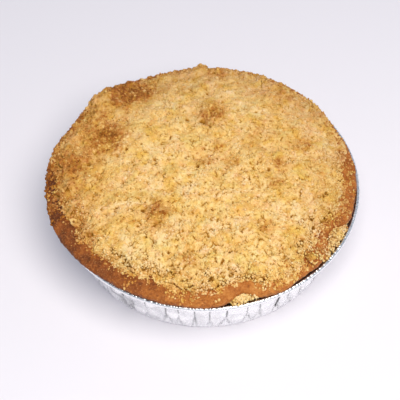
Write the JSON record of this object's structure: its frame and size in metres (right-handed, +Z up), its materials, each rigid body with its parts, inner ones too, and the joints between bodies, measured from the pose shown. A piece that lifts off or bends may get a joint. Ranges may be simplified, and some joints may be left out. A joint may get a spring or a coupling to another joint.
{
  "type": "apple crumble pie",
  "caption": "Round apple crumble pie with a rolled golden crust and a heap of baked crumbs on top, in a shallow pleated foil dish with a rolled rim.",
  "frame": {"origin": "centre of the dish's flat base, on the surface that it stands on", "axes": "+Z up through the middle of the pie, -Y towards the camera of the picture, +X to its right"},
  "size_m": [0.161, 0.1603, 0.0498],
  "materials": {
    "foil": "thin bright foil, creased",
    "pastry": "baked pastry, brown, slightly shiny",
    "crumble": "baked crumbs, pale gold, matte"
  },
  "bodies": {
    "root": {"foil_dish": "foil", "pastry_case": "pastry", "crumble_topping": "crumble"}
  },
  "joints": []
}
